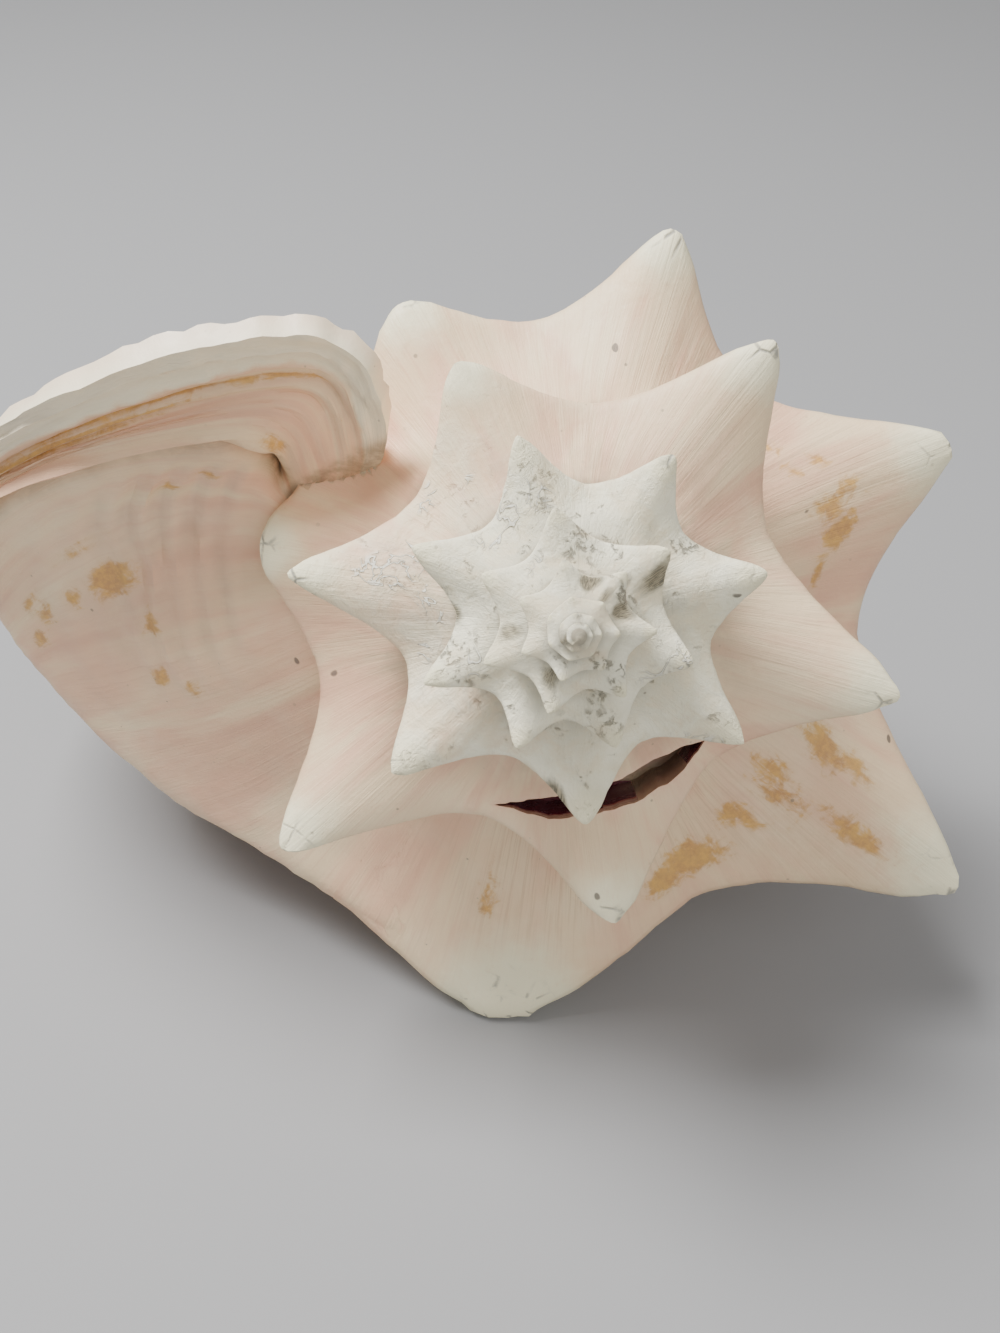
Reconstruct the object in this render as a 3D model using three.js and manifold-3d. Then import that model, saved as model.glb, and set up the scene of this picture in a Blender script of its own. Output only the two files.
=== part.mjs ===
// A large queen conch shell, cleaned out through a slit cut in the spire.
// Millimetres, +Z up. The shell lies on its back, aperture up, apex toward -Y.
// Shell frame used while building: apex at the origin, coil axis along Z with
// the apex at the top, X across, Y toward the aperture side. The whorls are
// numbered back from the lip edge: w = 0 at the lip, w = 1 one whorl earlier.
import * as THREE from 'three';
import { mergeVertices } from 'three/addons/utils/BufferGeometryUtils.js';
import Module from 'manifold-3d';

// ---- driving dimensions (mm, degrees) ----
const LENGTH = 228;          // apex to siphonal end, along the coil axis
const R0 = 77;               // shoulder radius at the lip edge
const GROWTH = 1.62;         // size ratio from one whorl to the next
const DEPTH = 1.3;           // shoulder depth below the apex, per radius
const DROP = 0.3;            // height of wall left showing under a shoulder
const SHOULDER = 0.6;        // profile position of the shoulder
const LIP_ANGLE = 135;       // where the lip edge leaves the coil
const BODY_START = 0.28;     // the coil ends and the lip takes over here
const COIL_END = 6.3;        // innermost whorl that is modelled
const WALL = 5;              // shell wall
const LIP_WALL = 6;          // wall of the flared lip
const TILT = 60.2;           // turn about X that lays the shell down
const ROLL = -0.4;           // turn about Y that settles it on three points
const FLAT = 0.8;            // depth worn flat at the resting points

// spines: angle round the axis, whorl, tip radius, lift of the tip
const SPINES = [
  [263, 0, 90, -2], [322, 0, 97, 2], [20, 0, 74, 4], [73, 0, 64, 4],
  [120, 0, 56, 4], [171, 1, 53, 4], [222, 1, 66, 5], [279, 1, 57, 5],
  [344, 1, 57, 5], [52, 1, 52, 5], [115, 1, 42, 4], [173, 2, 44, 4],
  [223, 2, 38, 4], [275, 2, 34, 3], [323, 2, 34, 3], [12, 2, 30, 3],
  [58, 2, 28, 3], [107, 2, 28, 3], [156, 3, 26, 3], [204, 3, 24, 2],
  [247, 3, 21, 2], [289, 3, 20, 2], [341, 3, 18.5, 2], [38, 3, 17.5, 2],
  [100, 3, 17, 2],
];
const INNER_RATIO = 1.38;    // tip radius over shoulder radius, inner whorls
const APEX_RATIO = 1.08;     // the same at the apex, where the knobs fade
const PER_WHORL = 7;

// lip: sections from the back of the shell round to the lip edge, each from
// the suture (first two points) over the shoulder to the siphonal end
const LIP = [
  [[-31, -22, -66], [-35, -25, -68], [-46, -33, -77], [-57, -41, -86],
    [-66, -46, -92], [-74, -50, -100], [-75, -54, -122], [-66, -52, -150],
    [-48, -39, -178], [-28, -23, -205], [-10, -8, -228]],
  [[-38, -7, -58], [-43, -8, -61], [-57, -14, -70], [-73, -19, -80],
    [-88, -23, -89], [-99, -26, -98], [-101, -30, -120], [-92, -33, -149],
    [-70, -24, -177], [-42, -12, -204], [-14, -2, -228]],
  [[-40, 9, -64], [-47, 11, -61], [-57, 14, -61], [-74, 13, -65],
    [-93, 5, -73], [-108, -6, -88], [-114, -9, -114], [-107, -9, -147],
    [-85, -6, -176], [-54, 0, -204], [-18, 5, -228]],
  [[-45, 13, -64], [-46, 18, -58], [-50, 25, -49], [-64, 25, -48],
    [-87, 20, -53], [-111, 8, -74], [-118, 0, -110], [-112, 0, -146],
    [-88, 0, -176], [-56, 5, -204], [-19, 8, -228]],
  [[-38, 16, -62], [-36, 24, -51], [-40, 34, -44], [-59, 32, -44],
    [-87, 23, -50], [-114, 11, -73], [-122, 5, -108], [-116, 5, -144],
    [-91, 7, -175], [-58, 11, -204], [-21, 11, -229]],
  [[-33, 18, -62], [-29, 27, -46], [-35, 40, -36], [-54, 40, -33],
    [-83, 31, -40], [-114, 17, -70], [-124, 12, -106], [-119, 12, -143],
    [-95, 14, -175], [-60, 16, -204], [-22, 14, -230]],
];
const LIP_STATIONS = [0, 0.02, 0.22, 0.42, 0.58, 0.8, 1.1, 1.35, 1.6, 1.8, 2];

const rad = (a) => (a * Math.PI) / 180;
const clamp = (x, a, b) => Math.min(b, Math.max(a, x));
const smooth = (x) => x * x * (3 - 2 * x);

// smooth curve through hand-set values
function curve(x, xs, ys) {
  const n = xs.length;
  const c = clamp(x, xs[0], xs[n - 1]);
  let i = 0;
  while (i < n - 2 && c > xs[i + 1]) i += 1;
  const slope = (k) => {
    const a = Math.max(0, k - 1);
    const b = Math.min(n - 1, k + 1);
    return (ys[b] - ys[a]) / (xs[b] - xs[a]);
  };
  const h = xs[i + 1] - xs[i];
  const t = (c - xs[i]) / h;
  const t2 = t * t;
  const t3 = t2 * t;
  return (2 * t3 - 3 * t2 + 1) * ys[i] + (t3 - 2 * t2 + t) * h * slope(i)
    + (-2 * t3 + 3 * t2) * ys[i + 1] + (t3 - t2) * h * slope(i + 1);
}

const nominal = (w) => R0 * GROWTH ** -w;
const EASE_W = [0.2, 0.42, 0.6, 0.77, 0.9, 1.05, 1.25];
const EASE_K = [1.2, 1.1, 0.96, 0.88, 0.92, 1, 1];
const radius = (w) => nominal(w) * curve(w, EASE_W, EASE_K);

// profile of a whorl: s = 0 suture, SHOULDER, s = 1 next suture, s = 2 end
const PROFILE_S = [0, 0.25, 0.5, 0.75, 1];
const OUTER_R = [0.97, 0.8, 0.6, 0.38, 0.15];
const INNER_R = [0.97, 0.64, 0.42, 0.27, 0.22];

function profile(w, s) {
  const r = radius(w);
  const rn = nominal(w);
  const rp = 0.97 * radius(w + 1);
  const zp = -(DEPTH + DROP) * nominal(w + 1);
  if (s < SHOULDER) {
    const t = s / SHOULDER;
    const dip = 0.05 * rn * Math.sin(Math.PI * t) * (1 - 0.3 * t);
    return [rp + (r - rp) * t, zp + (-DEPTH * rn - zp) * t - dip];
  }
  if (s < 1) {
    const v = (s - SHOULDER) / (1 - SHOULDER);
    const bulge = 0.02 * r * Math.sin(Math.PI * v);
    return [r * (1 - 0.03 * v) + bulge, -DEPTH * rn - DROP * rn * v];
  }
  const q = Math.min(1, s - 1);
  const b = smooth(clamp((w - 0.55) / 0.6, 0, 1));
  const k = curve(q, PROFILE_S, OUTER_R) * (1 - b) + curve(q, PROFILE_S, INNER_R) * b;
  const z1 = -(DEPTH + DROP) * rn;
  return [r * k, z1 + (-LENGTH - z1) * q];
}

// all spines as whorl position, tip radius and lift
const spines = SPINES.map(([a, turn, r, lift]) => {
  const part = (((a - LIP_ANGLE) % 360) + 360) % 360;
  return [turn + part / 360, r, lift];
});
for (let w = spines[spines.length - 1][0] + 1 / PER_WHORL; w < COIL_END + 0.3; w += 1 / PER_WHORL) {
  const fade = clamp((w - 4.9) / 1.1, 0, 1);
  const ratio = INNER_RATIO + (APEX_RATIO - INNER_RATIO) * fade;
  spines.push([w, ratio * nominal(w), 0.08 * nominal(w)]);
}
spines.sort((a, b) => a[0] - b[0]);

function spineOffset(w, s) {
  const out = [0, 0, 0];
  for (let i = 0; i < spines.length; i += 1) {
    const [wi, tip, lift] = spines[i];
    const lo = i > 0 ? (wi - spines[i - 1][0]) * 0.53 : 0.075;
    const hi = i < spines.length - 1 ? (spines[i + 1][0] - wi) * 0.53 : 0.075;
    if (w > wi - lo && w < wi + hi) {
      const q1 = w < wi ? (w - wi) / lo : (w - wi) / hi;
      const q2 = (s - SHOULDER) / 0.61;
      const e = i > 0 ? 0.18 : 0.35;
      const power = i > 0 ? 2.2 : 1.5;
      const q = (Math.sqrt(q1 * q1 + q2 * q2 + e * e) - e) / (Math.sqrt(1 + e * e) - e);
      const h = clamp(1 - q, 0, 1) ** power * smooth(clamp(s / 0.25, 0, 1));
      const a = rad(LIP_ANGLE + 360 * wi);
      const reach = tip - radius(wi);
      out[0] += h * reach * Math.cos(a);
      out[1] += h * reach * Math.sin(a);
      out[2] += h * lift;
    }
  }
  return out;
}

function surface(w, s) {
  const [r, z] = profile(w, s);
  const a = rad(LIP_ANGLE + 360 * w);
  const d = spineOffset(w, s);
  const e = spineOffset(w + 1, 1);
  const g = clamp(1 - s / 0.35, 0, 1) ** 2;
  return [
    r * Math.cos(a) + d[0] + e[0] * g,
    r * Math.sin(a) + d[1] + e[1] * g,
    z + d[2] + e[2] * g,
  ];
}

// ---- solids ----
const wasm = await Module();
wasm.setup();

function makeSolid(points, tris) {
  const mesh = new wasm.Mesh({
    numProp: 3,
    vertProperties: new Float32Array(points.flat()),
    triVerts: new Uint32Array(tris.flat()),
  });
  return new wasm.Manifold(mesh);
}

// signed volume, to turn a body the right way out
function volume(points, tris) {
  let v = 0;
  for (const [a, b, c] of tris) {
    const p = points[a];
    const q = points[b];
    const r = points[c];
    v += p[0] * (q[1] * r[2] - q[2] * r[1]) - p[1] * (q[0] * r[2] - q[2] * r[0])
      + p[2] * (q[0] * r[1] - q[1] * r[0]);
  }
  return v / 6;
}

// triangles filling a flat outline, wound the same way as the outline
function fill(contour) {
  const area = THREE.ShapeUtils.area(contour);
  return THREE.ShapeUtils.triangulateShape(contour, []).map(([a, b, c]) => {
    const own = THREE.ShapeUtils.area([contour[a], contour[b], contour[c]]);
    return own * area < 0 ? [a, c, b] : [a, b, c];
  });
}

// a body swept through closed loops of equal size, capped at both ends
function loft(loops) {
  const n = loops[0].length;
  const points = loops.flat();
  const tris = [];
  for (let i = 0; i < loops.length - 1; i += 1) {
    for (let j = 0; j < n; j += 1) {
      const k = (j + 1) % n;
      const a = i * n + j;
      const b = i * n + k;
      const c = (i + 1) * n + k;
      const d = (i + 1) * n + j;
      tris.push([a, b, c], [a, c, d]);
    }
  }
  const last = (loops.length - 1) * n;
  for (const [start, flip] of [[0, true], [last, false]]) {
    const ring = loops[start / n];
    for (const [a, b, c] of fill(flatten(ring))) {
      tris.push(flip ? [start + c, start + b, start + a] : [start + a, start + b, start + c]);
    }
  }
  return orient(points, tris);
}

// a loop laid out flat: distance from the axis against height
function flatten(ring) {
  const far = ring.reduce((m, p) => (Math.hypot(p[0], p[1]) > Math.hypot(m[0], m[1]) ? p : m));
  const a = Math.atan2(far[1], far[0]);
  return ring.map((p) => new THREE.Vector2(p[0] * Math.cos(a) + p[1] * Math.sin(a), p[2]));
}

function orient(points, tris) {
  if (volume(points, tris) > 0) return makeSolid(points, tris);
  return makeSolid(points, tris.map(([a, b, c]) => [a, c, b]));
}

// columns bunch up at the spine tips
function columns(from, to) {
  const out = [from];
  for (let i = 0; i < spines.length; i += 1) {
    const wi = spines[i][0];
    const gap = 1 / PER_WHORL;
    let steps = [-0.5, -0.28, -0.12, -0.03, 0.03, 0.12, 0.28];
    if (wi > 2) steps = [-0.5, -0.2, -0.04, 0.04, 0.2];
    if (wi > 3) steps = [-0.5, -0.2, 0, 0.2];
    if (wi > 4.5) steps = [-0.5, -0.15, 0.15];
    for (const f of steps) {
      const w = wi + f * gap;
      if (w > from + 0.008 && w < to - 0.008) out.push(w);
    }
  }
  out.push(to);
  return out.sort((a, b) => a - b);
}

// one piece of coil: the profile closed back to two points on the axis
function coilPiece(from, to, rows) {
  const n = rows.length + 1;
  const columnsAt = columns(from, to);
  const points = [];
  for (const w of columnsAt) {
    const start = surface(w, 0);
    points.push([start[0] * 0.88, start[1] * 0.88, start[2] + 0.12 * nominal(w + 1)]);
    for (const s of rows) points.push(surface(w, s));
  }
  const high = points.length;
  points.push([0, 0, -(DEPTH + 0.5 * DROP) * nominal(to + 1)]);
  const low = points.length;
  const end = rows[rows.length - 1] > 1 ? -LENGTH - 1 : -(DEPTH + DROP) * nominal(from) * 1.03;
  points.push([0, 0, end]);
  const tris = [];
  for (let i = 0; i < columnsAt.length - 1; i += 1) {
    const a = i * n;
    const b = a + n;
    tris.push([high, a, b]);
    for (let j = 0; j < n - 1; j += 1) {
      tris.push([a + j, a + j + 1, b + j + 1], [a + j, b + j + 1, b + j]);
    }
    tris.push([a + n - 1, low, b + n - 1]);
  }
  for (const [start, flip] of [[0, true], [(columnsAt.length - 1) * n, false]]) {
    const ids = [high];
    for (let j = 0; j < n; j += 1) ids.push(start + j);
    ids.push(low);
    for (const [a, b, c] of fill(flatten(ids.map((k) => points[k])))) {
      tris.push(flip ? [ids[c], ids[b], ids[a]] : [ids[a], ids[b], ids[c]]);
    }
  }
  return orient(points, tris);
}

const SPIRE_ROWS = [0, 0.2, 0.38, 0.52, 0.6, 0.68, 0.82, 1];
const FINE_ROWS = [0, 0.3, 0.6, 0.8, 1];
const BODY_ROWS = [...SPIRE_ROWS, 1.18, 1.36, 1.55, 1.75, 1.9, 2];

let body = coilPiece(BODY_START, 0.62, BODY_ROWS);
body = body.add(coilPiece(0.615, 0.96, BODY_ROWS));
body = body.add(coilPiece(0.955, BODY_START + 1.1, BODY_ROWS));
for (let w = BODY_START + 1.08; w < COIL_END; w += 0.5) {
  const rows = w < 3 ? SPIRE_ROWS : FINE_ROWS;
  body = body.add(coilPiece(w - 0.005, Math.min(COIL_END, w + 0.5), rows));
}

// ---- flared lip ----
function sections() {
  const back = LIP_STATIONS.map((s) => {
    const p = surface(0.35, Math.max(0.001, s));
    const k = 0.975;
    return [p[0] * k, p[1] * k, p[2] + (s < 0.7 ? -1 : 0)];
  });
  const edge = LIP_STATIONS.map((s) => {
    const p = surface(0.285, Math.max(0.001, s));
    return [p[0] * 1.004, p[1] * 1.004, p[2]];
  });
  back[0] = [back[0][0] * 0.92, back[0][1] * 0.92, back[0][2] + 2];
  edge[0] = [edge[0][0] * 0.92, edge[0][1] * 0.92, edge[0][2] + 2];
  return [back, edge, ...LIP];
}

// point on a smooth curve through a row of points
function through(row, u) {
  const n = row.length;
  const i = clamp(Math.floor(u), 0, n - 2);
  const t = u - i;
  return row[i].map((_, k) => {
    const p1 = row[i][k];
    const p2 = row[i + 1][k];
    const p0 = i > 0 ? row[i - 1][k] : 2 * p1 - p2;
    const p3 = i < n - 2 ? row[i + 2][k] : 2 * p2 - p1;
    return 0.5 * (2 * p1 + (p2 - p0) * t + (2 * p0 - 5 * p1 + 4 * p2 - p3) * t * t
      + (3 * p1 - p0 - 3 * p2 + p3) * t * t * t);
  });
}

function lipSolid(nu, nt) {
  const sec = sections();
  const grid = [];
  for (let i = 0; i <= nu; i += 1) {
    const u = (i / nu) * (sec.length - 1);
    const row = LIP_STATIONS.map((_, j) => through(sec.map((r) => r[j]), u));
    const line = [];
    for (let j = 0; j <= nt; j += 1) line.push(through(row, (j / nt) * (row.length - 1)));
    grid.push(line);
  }
  const at = (i, j) => new THREE.Vector3(...grid[clamp(i, 0, nu)][clamp(j, 0, nt)]);
  const inner = grid.map((line, i) => line.map((p, j) => {
    const du = at(i + 1, j).sub(at(i - 1, j));
    const dt = at(i, j + 1).sub(at(i, j - 1));
    const n = dt.cross(du).normalize();
    const taper = j < 2 ? 0.6 : 1;
    return [p[0] + n.x * LIP_WALL * taper, p[1] + n.y * LIP_WALL * taper, p[2] + n.z * LIP_WALL * taper];
  }));
  const loops = grid.map((line, i) => [...line, ...inner[i].slice().reverse()]);
  const points = loops.flat();
  const n = loops[0].length;
  const tris = [];
  for (let i = 0; i < nu; i += 1) {
    for (let j = 0; j < n; j += 1) {
      const k = (j + 1) % n;
      const a = i * n + j;
      const b = i * n + k;
      const c = (i + 1) * n + k;
      const d = (i + 1) * n + j;
      tris.push([a, b, c], [a, c, d]);
    }
  }
  for (const [start, flip] of [[0, true], [nu * n, false]]) {
    for (let j = 0; j < nt; j += 1) {
      const a = start + j;
      const b = start + j + 1;
      const c = start + n - 2 - j;
      const d = start + n - 1 - j;
      if (flip) tris.push([a, c, b], [a, d, c]);
      else tris.push([a, b, c], [a, c, d]);
    }
  }
  return orient(points, tris);
}

// ---- hollow of the last whorls ----
function heightRadius(w, z) {
  // radius of the older whorl's wall and pillar at one height
  const z1 = -(DEPTH + DROP) * nominal(w);
  const q = clamp((z1 - z) / (LENGTH + z1), 0, 1);
  return profile(w, 1 + q)[0];
}

function chamberLoop(w) {
  const end = curve(w, [0.15, 0.28, 0.6, 1, 2.4], [1.8, 1.78, 1.6, 1.33, 1.2]);
  const a = rad(LIP_ANGLE + 360 * w);
  const wall = WALL * clamp(1.25 - 0.25 * w, 0.5, 1);
  const ring = [];
  const steps = [0, 0.1, 0.22, 0.36, 0.5, 0.64, 0.82, 1];
  for (const f of steps) {
    const s = 0.22 + (end - 0.22) * f;
    const p = profile(w, s);
    const q = profile(w, s + 0.02);
    const dr = q[0] - p[0];
    const dz = q[1] - p[1];
    const l = Math.hypot(dr, dz);
    ring.push([p[0] + (dz / l) * wall, p[1] - (dr / l) * wall]);
  }
  const bottom = ring[ring.length - 1];
  const top = ring[0];
  for (const f of [0.08, 0.28, 0.5, 0.72, 0.9]) {
    const z = bottom[1] + (top[1] - 3 - bottom[1]) * f;
    const r = Math.min(heightRadius(w + 1, z) + 0.6 * wall, bottom[0] - 2);
    ring.push([f < 0.3 ? r : heightRadius(w + 1, z) + 0.6 * wall, z]);
  }
  return ring.map(([r, z]) => [r * Math.cos(a), r * Math.sin(a), z]);
}

function chamber() {
  const loops = [];
  for (let w = 0.2; w < 2.25; w += 0.05) loops.push(chamberLoop(w));
  return loops;
}

// ---- slit cut in the spire to free the animal ----
const SLIT = [
  [-12, -36.3], [-4, -34.2], [6, -31.2], [13, -27.6], [20, -24.4], [23.5, -24],
  [19, -30.2], [12.5, -33.8], [6, -36], [-2.5, -37.6],
];
const SLIT_TOP = -34;
const SLIT_BASE = -60;

function slitSolid() {
  const low = SLIT.map(([x, y]) => [x, y, SLIT_BASE]);
  const high = SLIT.map(([x, y]) => [x, y, SLIT_TOP]);
  const n = SLIT.length;
  const points = [...low, ...high];
  const tris = [];
  for (let j = 0; j < n; j += 1) {
    const k = (j + 1) % n;
    tris.push([j, k, n + k], [j, n + k, n + j]);
  }
  for (const [a, b, c] of fill(SLIT.map(([x, y]) => new THREE.Vector2(x, y)))) {
    tris.push([c, b, a], [n + a, n + b, n + c]);
  }
  return orient(points, tris);
}

// half turns of the hollow, so that no single cutter winds over itself
const loops = chamber();
const HALF = 10;
body = body.add(lipSolid(14, 22));
for (let i = 0; i < loops.length - 1; i += HALF) {
  const run = loops.slice(i, Math.min(loops.length, i + HALF + 1));
  if (run.length > 1) body = body.subtract(loft(run));
}
body = body.subtract(slitSolid());

// ---- lay it down and wear the resting points flat ----
const turn = new THREE.Matrix4().makeRotationX(rad(TILT));
turn.premultiply(new THREE.Matrix4().makeRotationY(rad(ROLL)));

function toGeometry(solid) {
  const m = solid.getMesh();
  const g = new THREE.BufferGeometry();
  g.setAttribute('position', new THREE.BufferAttribute(new Float32Array(m.vertProperties), 3));
  g.setIndex(new THREE.BufferAttribute(new Uint32Array(m.triVerts), 1));
  return g;
}

function fromGeometry(g) {
  const mesh = new wasm.Mesh({
    numProp: 3,
    vertProperties: new Float32Array(g.attributes.position.array),
    triVerts: new Uint32Array(g.index.array),
  });
  return new wasm.Manifold(mesh);
}

const laid = toGeometry(body);
laid.applyMatrix4(turn);
laid.computeBoundingBox();
laid.translate(0, 0, -laid.boundingBox.min.z - FLAT);

const slab = new THREE.BoxGeometry(600, 600, 20);
slab.translate(0, 0, -10);
slab.deleteAttribute('normal');
slab.deleteAttribute('uv');
const ground = fromGeometry(mergeVertices(slab));
const shellGeometry = toGeometry(fromGeometry(laid).subtract(ground));
shellGeometry.computeBoundingBox();
const box = shellGeometry.boundingBox;
shellGeometry.translate(-(box.min.x + box.max.x) / 2, -(box.min.y + box.max.y) / 2, -box.min.z);

const material = new THREE.MeshStandardMaterial({ color: 0xe9dccb, roughness: 0.6, metalness: 0 });
const shell = new THREE.Mesh(shellGeometry, material);
shell.name = 'shell';

const group = new THREE.Group();
group.add(shell);
export default group;
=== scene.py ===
"""A queen conch shell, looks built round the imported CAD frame.

Lengths in the shape code are millimetres in the shell's own frame: apex at the
origin, coil axis along Z with the apex at the top. Whorls are numbered back
from the lip edge, so w = 0 is the lip and w = 1 is one whorl earlier.
"""

import math
from types import SimpleNamespace

import bmesh
import bpy
import numpy as np
from mathutils import Matrix, Vector
from mathutils.geometry import tessellate_polygon
from mathutils.kdtree import KDTree


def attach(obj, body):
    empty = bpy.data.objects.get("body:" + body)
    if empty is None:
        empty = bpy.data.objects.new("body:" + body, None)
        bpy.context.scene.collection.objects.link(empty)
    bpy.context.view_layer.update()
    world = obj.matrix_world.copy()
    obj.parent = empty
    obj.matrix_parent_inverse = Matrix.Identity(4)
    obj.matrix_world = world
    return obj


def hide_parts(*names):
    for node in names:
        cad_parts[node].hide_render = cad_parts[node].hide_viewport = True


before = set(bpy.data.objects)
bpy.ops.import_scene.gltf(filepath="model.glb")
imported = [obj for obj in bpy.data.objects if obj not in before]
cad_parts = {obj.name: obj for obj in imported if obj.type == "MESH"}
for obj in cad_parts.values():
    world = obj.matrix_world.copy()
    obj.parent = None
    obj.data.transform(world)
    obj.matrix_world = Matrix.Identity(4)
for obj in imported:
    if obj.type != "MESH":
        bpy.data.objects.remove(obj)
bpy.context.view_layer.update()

# ---- driving dimensions, as in the CAD (mm, degrees) ----
LENGTH = 228
R0 = 77
GROWTH = 1.62
DEPTH = 1.3
DROP = 0.3
SHOULDER = 0.6
LIP_ANGLE = 135
BODY_START = 0.28
LIP_WALL = 6
WALL = 5
TILT = 60.2
ROLL = -0.4
APEX = (23.24, -104.3, 122.02)  # where the apex lies in the part frame
MM = 0.001

# spines: angle round the axis, whorl, tip radius, lift of the tip
SPINES = [
    (263, 0, 90, -2), (322, 0, 97, 2), (20, 0, 74, 4), (73, 0, 64, 4),
    (120, 0, 56, 4), (171, 1, 53, 4), (222, 1, 66, 5), (279, 1, 57, 5),
    (344, 1, 57, 5), (52, 1, 52, 5), (115, 1, 42, 4), (173, 2, 44, 4),
    (223, 2, 38, 4), (275, 2, 34, 3), (323, 2, 34, 3), (12, 2, 30, 3),
    (58, 2, 28, 3), (107, 2, 28, 3), (156, 3, 26, 3), (204, 3, 24, 2),
    (247, 3, 21, 2), (289, 3, 20, 2), (341, 3, 18.5, 2), (38, 3, 17.5, 2),
    (100, 3, 17, 2),
]
INNER_RATIO = 1.38  # tip radius over shoulder radius, inner whorls
APEX_RATIO = 1.08  # the same at the apex, where the knobs fade
PER_WHORL = 7

# lip sections from the back of the shell round to the lip edge
LIP = [
    [(-31, -22, -66), (-35, -25, -68), (-46, -33, -77), (-57, -41, -86),
     (-66, -46, -92), (-74, -50, -100), (-75, -54, -122), (-66, -52, -150),
     (-48, -39, -178), (-28, -23, -205), (-10, -8, -228)],
    [(-38, -7, -58), (-43, -8, -61), (-57, -14, -70), (-73, -19, -80),
     (-88, -23, -89), (-99, -26, -98), (-101, -30, -120), (-92, -33, -149),
     (-70, -24, -177), (-42, -12, -204), (-14, -2, -228)],
    [(-40, 9, -64), (-47, 11, -61), (-57, 14, -61), (-74, 13, -65),
     (-93, 5, -73), (-108, -6, -88), (-114, -9, -114), (-107, -9, -147),
     (-85, -6, -176), (-54, 0, -204), (-18, 5, -228)],
    [(-45, 13, -64), (-46, 18, -58), (-50, 25, -49), (-64, 25, -48),
     (-87, 20, -53), (-111, 8, -74), (-118, 0, -110), (-112, 0, -146),
     (-88, 0, -176), (-56, 5, -204), (-19, 8, -228)],
    [(-38, 16, -62), (-36, 24, -51), (-40, 34, -44), (-59, 32, -44),
     (-87, 23, -50), (-114, 11, -73), (-122, 5, -108), (-116, 5, -144),
     (-91, 7, -175), (-58, 11, -204), (-21, 11, -229)],
    [(-33, 18, -62), (-29, 27, -46), (-35, 40, -36), (-54, 40, -33),
     (-83, 31, -40), (-114, 17, -70), (-124, 12, -106), (-119, 12, -143),
     (-95, 14, -175), (-60, 16, -204), (-22, 14, -230)],
]
LIP_STATIONS = np.array([0, 0.02, 0.22, 0.42, 0.58, 0.8, 1.1, 1.35, 1.6, 1.8, 2])

# growth ridges on the flared lip: section number, height, half width
LIP_RIDGES = [
    (4.84, -2.8, 0.1), (5.06, 2.4, 0.1), (5.3, 0.5, 0.06), (5.5, 0.6, 0.05), (5.66, 0.6, 0.05),
    (5.85, -1.0, 0.06), (6.0, 0.8, 0.05), (6.16, -1.5, 0.07), (6.42, 0.5, 0.06), (6.6, -0.4, 0.05),
    (6.75, 0.5, 0.05),
]
# arched ridges round the spire side of the flare: station number, height, half width
LIP_ARCHES = [
    (1.9, 0.9, 0.14), (2.25, 1.3, 0.12), (2.62, 1.6, 0.13), (2.95, 2.0, 0.13), (3.3, 1.3, 0.12),
    (3.7, 0.8, 0.14), (4.1, 0.7, 0.16),
]
RIM_RAGGED = 0.7  # how far the torn rim wanders
PIT = (4.78, 1.35, 5.5)  # hollow where the fold tucks under: section, station, depth

# mesh density
TURN_COLUMNS = 240
TURNS = 8
RAMP_ROWS = 26
WALL_ROWS = 44
LIP_COLUMNS = 110
LIP_ROWS = 120
CHAMBER_STEP = 0.0125  # whorls between sections of the hollow
CHAMBER_RUN = 40  # sections in one cutter
SPINE_OVERLAP = 0.53  # share of the gap to the next spine that a spine's foot covers
SPINE_FOOT = 0.61  # half height of a spine's foot, in profile places
SHARP_ANGLE = 48

# where things are on the coil, in whorls
CHALK_START, CHALK_FADE = 1.75, 0.75
SUTURE_START = 1.27
APEX_FADE_START, APEX_FADE = 4.9, 1.1

# studio: metres, watts and the photograph's viewing angle in degrees
KEY_SPOT, KEY_SIZE, KEY_POWER = (-0.40, 0.02, 0.95), 0.45, 21
FILL_SPOT, FILL_SIZE, FILL_POWER = (0.5, -0.9, 0.8), 0.9, 5
LIGHT_TARGET = (0, 0, 0.06)
WORLD_STRENGTH = 0.45
FLOOR_HALF = 5
FLOOR_COLOUR, FLOOR_ROUGHNESS = (0.31, 0.31, 0.315, 1), 0.9
CAMERA_LENS = 40.5
CAMERA_SPOT = (0.0127, -0.262, 0.2451)
CAMERA_TURN = (50.93, -0.26, 0.19)


def smooth(x):
    x = np.clip(x, 0, 1)
    return x * x * (3 - 2 * x)


def curve(x, xs, ys):
    """Smooth curve through given values."""
    xs, ys = np.asarray(xs, float), np.asarray(ys, float)
    x = np.clip(np.asarray(x, float), xs[0], xs[-1])
    before = np.maximum(np.arange(len(xs)) - 1, 0)
    after = np.minimum(np.arange(len(xs)) + 1, len(xs) - 1)
    slope = (ys[after] - ys[before]) / (xs[after] - xs[before])
    i = np.clip(np.searchsorted(xs, x, side="right") - 1, 0, len(xs) - 2)
    h = xs[i + 1] - xs[i]
    t = (x - xs[i]) / h
    return (
        (2 * t**3 - 3 * t**2 + 1) * ys[i]
        + (t**3 - 2 * t**2 + t) * h * slope[i]
        + (-2 * t**3 + 3 * t**2) * ys[i + 1]
        + (t**3 - t**2) * h * slope[i + 1]
    )


def nominal(w):
    return R0 * GROWTH ** (-np.asarray(w, float))


def radius(w):
    ease = curve(w, [0.2, 0.42, 0.6, 0.77, 0.9, 1.05, 1.25], [1.2, 1.1, 0.96, 0.88, 0.92, 1, 1])
    return nominal(w) * ease


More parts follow.
